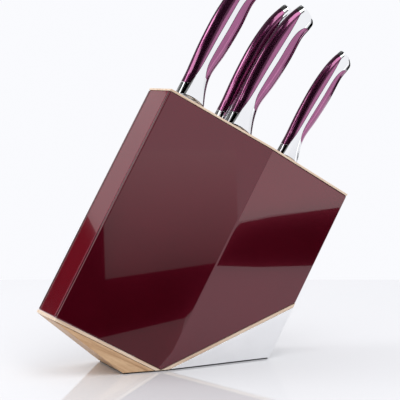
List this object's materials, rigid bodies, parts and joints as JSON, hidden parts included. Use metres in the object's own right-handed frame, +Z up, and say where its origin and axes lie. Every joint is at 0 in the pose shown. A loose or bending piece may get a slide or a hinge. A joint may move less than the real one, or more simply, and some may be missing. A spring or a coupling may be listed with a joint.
{
  "type": "knife block with knives",
  "caption": "Slanted faceted knife block in lacquered panels with wooden trim, a wooden and a polished steel foot, holding knives with steel and coloured handles.",
  "frame": {"origin": "middle of the underside of the non-slip pad that the block rests on", "axes": "+Z up, +X along the block towards its higher, overhanging right end, +Y across its thickness towards the back row of slots"},
  "size_m": [0.3065, 0.069, 0.365],
  "materials": {
    "lacquer": "high gloss burgundy lacquer",
    "pale_wood": "oiled pale wood edge",
    "foot_wood": "oiled wood with long grain",
    "board_wood": "planed board",
    "mirror_steel": "mirror polished stainless steel",
    "blade_steel": "satin ground blade steel",
    "plum_inlay": "glossy metallic plum",
    "rubber": "matt black rubber",
    "zinc_steel": "zinc plated"
  },
  "bodies": {
    "block": {"back_board": "board_wood", "back_panel": "lacquer", "back_spacer_1": "board_wood", "back_spacer_2": "board_wood", "bottom_plate_left": "pale_wood", "bottom_plate_right": "pale_wood", "foot_core": "board_wood", "foot_screw_1": "zinc_steel", "foot_screw_2": "zinc_steel", "front_board": "board_wood", "front_panel": "lacquer", "front_spacer_1": "board_wood", "front_spacer_2": "board_wood", "front_spacer_3": "board_wood", "front_spacer_4": "board_wood", "left_end_panel": "lacquer", "middle_board": "board_wood", "non_slip_pad": "rubber", "right_end_panel": "lacquer", "steel_foot": "mirror_steel", "top_plate": "pale_wood", "wood_foot": "foot_wood"},
    "chef_knife": {"chef_belly_inlay": "plum_inlay", "chef_blade": "blade_steel", "chef_handle_frame": "mirror_steel", "chef_spine_inlay": "plum_inlay"},
    "bread_knife": {"bread_belly_inlay": "plum_inlay", "bread_blade": "blade_steel", "bread_handle_frame": "mirror_steel", "bread_spine_inlay": "plum_inlay"},
    "carving_knife": {"carving_belly_inlay": "plum_inlay", "carving_blade": "blade_steel", "carving_handle_frame": "mirror_steel", "carving_spine_inlay": "plum_inlay"},
    "utility_knife": {"utility_belly_inlay": "plum_inlay", "utility_blade": "blade_steel", "utility_handle_frame": "mirror_steel", "utility_spine_inlay": "plum_inlay"}
  },
  "joints": [
    {"name": "chef_draw", "type": "slide", "parent": "block", "child": "chef_knife", "axis": [0.4848, 0, 0.8746], "range_m": [0, 0.215]},
    {"name": "bread_draw", "type": "slide", "parent": "block", "child": "bread_knife", "axis": [0.5, 0, 0.866], "range_m": [0, 0.215]},
    {"name": "carving_draw", "type": "slide", "parent": "block", "child": "carving_knife", "axis": [0.518, 0, 0.8554], "range_m": [0, 0.213]},
    {"name": "utility_draw", "type": "slide", "parent": "block", "child": "utility_knife", "axis": [0.521, 0, 0.8536], "range_m": [0, 0.143]}
  ]
}
